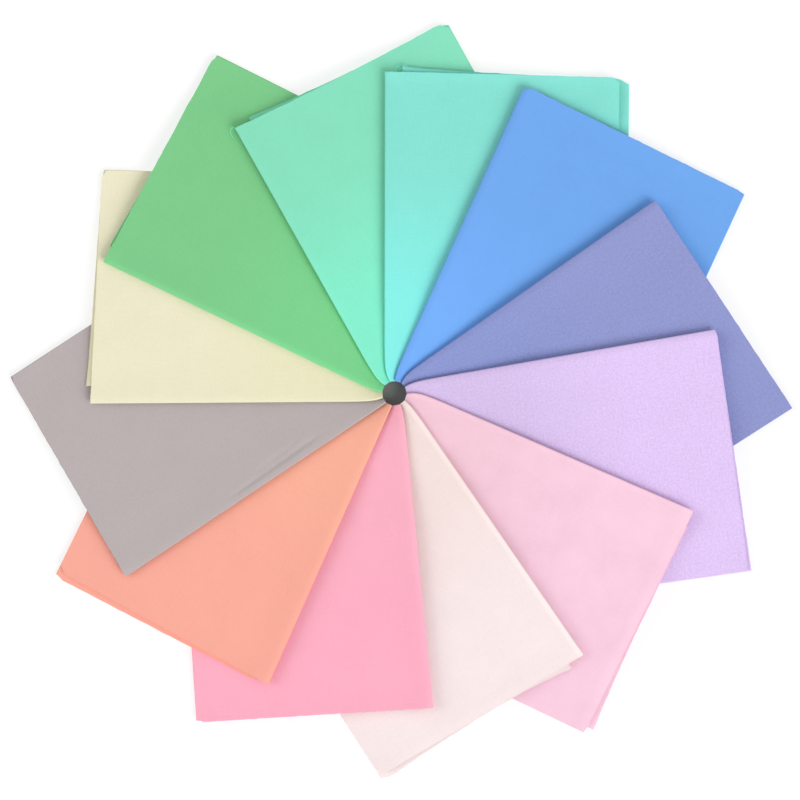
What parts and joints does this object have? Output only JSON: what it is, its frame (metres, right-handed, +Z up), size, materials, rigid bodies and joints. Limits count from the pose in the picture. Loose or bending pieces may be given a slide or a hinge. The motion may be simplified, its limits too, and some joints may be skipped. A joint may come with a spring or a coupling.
{
  "type": "fanned stack of folded fat quarters",
  "caption": "Pinwheel of folded plain cotton fat quarters in pastel colours, each lapped over the next round a small centre hole, for patchwork and quilting.",
  "frame": {"origin": "on the table, under the middle of the fan's outline; the fan's hole is 4.5 mm to -X and 5.4 mm to +Y of it", "axes": "+Z up from the table; +X along the longer side of the outline, to the right as seen from above with the turquoise cloth at the top"},
  "size_m": [0.6247, 0.604, 0.0195],
  "materials": {
    "lavender_cotton": "plain weave cotton",
    "periwinkle_cotton": "plain weave cotton",
    "cornflower_cotton": "plain weave cotton",
    "turquoise_cotton": "plain weave cotton",
    "mint_cotton": "plain weave cotton",
    "green_cotton": "plain weave cotton",
    "cream_cotton": "plain weave cotton",
    "grey_cotton": "plain weave cotton",
    "peach_cotton": "plain weave cotton",
    "pink_cotton": "plain weave cotton",
    "ivory_cotton": "plain weave cotton",
    "blush_cotton": "plain weave cotton"
  },
  "bodies": {
    "root": {"fat_quarter_lavender": "lavender_cotton", "fat_quarter_periwinkle": "periwinkle_cotton", "fat_quarter_cornflower": "cornflower_cotton", "fat_quarter_turquoise": "turquoise_cotton", "fat_quarter_mint": "mint_cotton", "fat_quarter_green": "green_cotton", "fat_quarter_cream": "cream_cotton", "fat_quarter_grey": "grey_cotton", "fat_quarter_peach": "peach_cotton", "fat_quarter_pink": "pink_cotton", "fat_quarter_ivory": "ivory_cotton", "fat_quarter_blush": "blush_cotton"}
  },
  "joints": []
}
